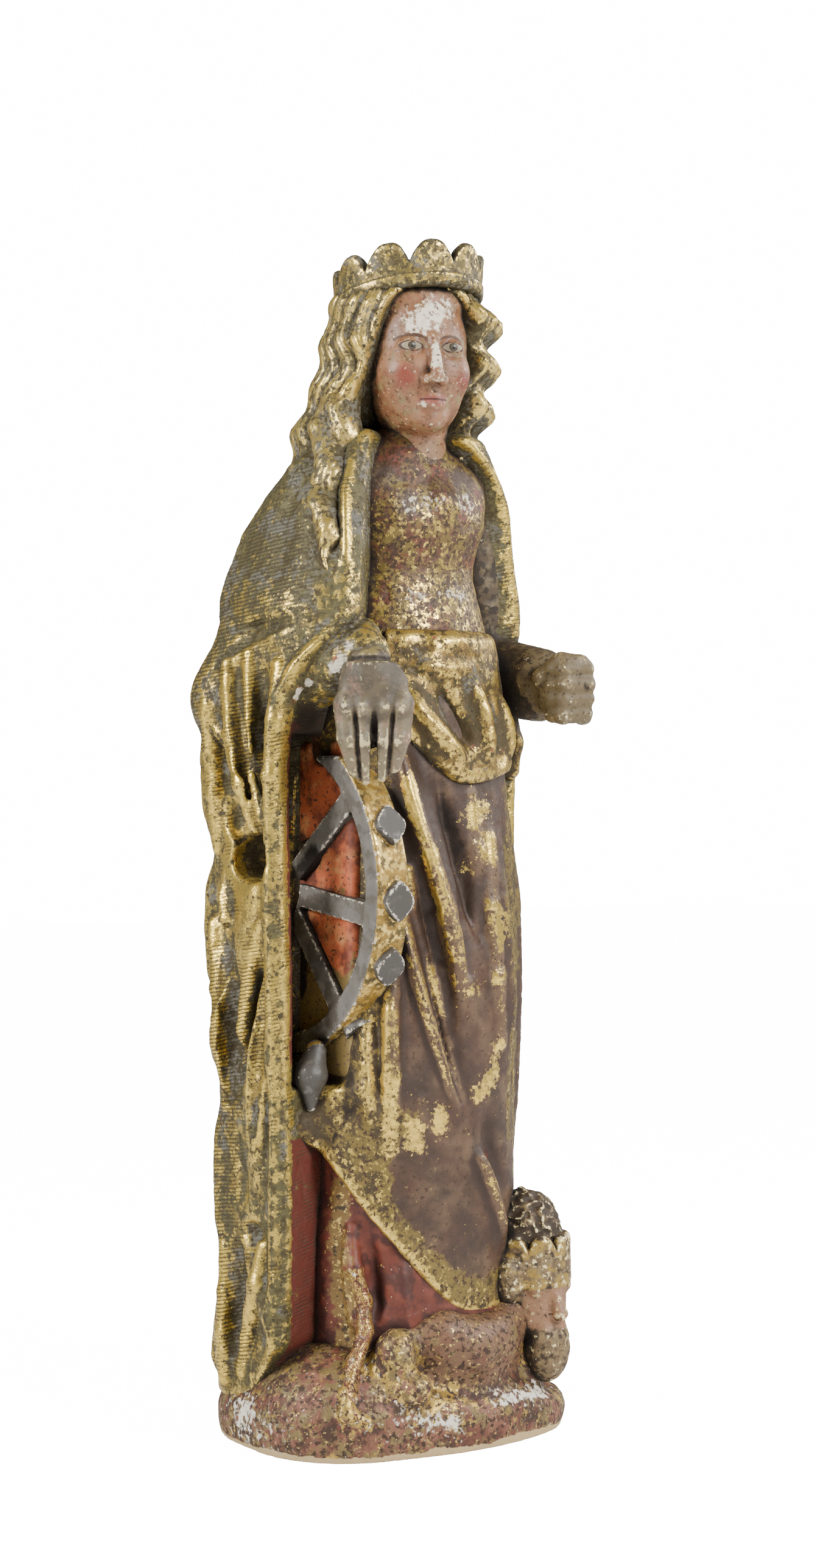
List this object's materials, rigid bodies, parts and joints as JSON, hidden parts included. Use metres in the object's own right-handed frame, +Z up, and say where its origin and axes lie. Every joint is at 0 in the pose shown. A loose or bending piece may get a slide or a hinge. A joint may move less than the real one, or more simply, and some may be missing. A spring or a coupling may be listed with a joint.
{
  "type": "carved wooden saint figure",
  "caption": "Carved, gilded and painted wooden figure of a crowned woman saint with a broken spiked wheel and a fallen king at the feet",
  "frame": {"origin": "on the floor under the middle of the base", "axes": "+Z up, -Y the way the figure looks, -X the side of its right hand"},
  "size_m": [0.2495, 0.1998, 0.7989],
  "materials": {
    "painted_wood": "carved wood under gesso, worn leaf gilding and old paint"
  },
  "bodies": {
    "root": {"statue": "painted_wood"}
  },
  "joints": []
}
